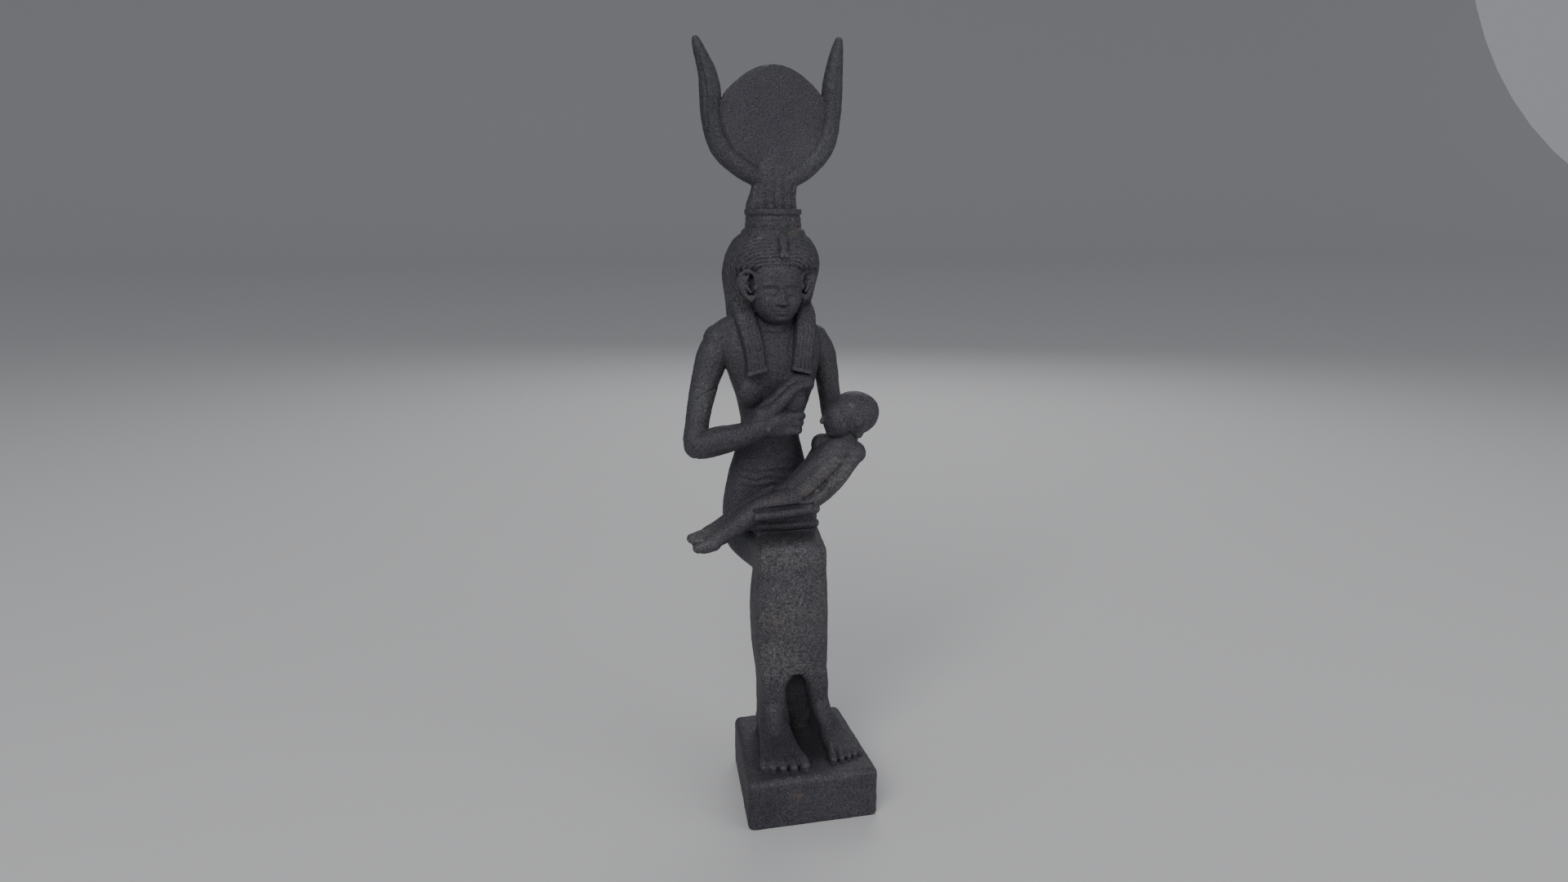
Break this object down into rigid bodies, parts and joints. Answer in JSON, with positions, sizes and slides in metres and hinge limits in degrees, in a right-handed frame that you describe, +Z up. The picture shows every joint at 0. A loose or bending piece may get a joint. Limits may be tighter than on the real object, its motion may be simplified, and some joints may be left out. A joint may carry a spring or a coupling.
{
  "type": "seated goddess statuette",
  "caption": "Cast bronze statuette of a seated goddess in a long wig with a crown of cow's horns and disc, nursing the naked child across her lap, feet on a small block.",
  "frame": {"origin": "middle of the flat underside of the block under the feet", "axes": "+Z up towards the crown, -Y the way the figure faces, +X towards the child's head"},
  "size_m": [0.0588, 0.0588, 0.2169],
  "materials": {
    "bronze": "matt dark patina with light dust in the pores"
  },
  "bodies": {
    "root": {"isis_statue": "bronze"}
  },
  "joints": []
}
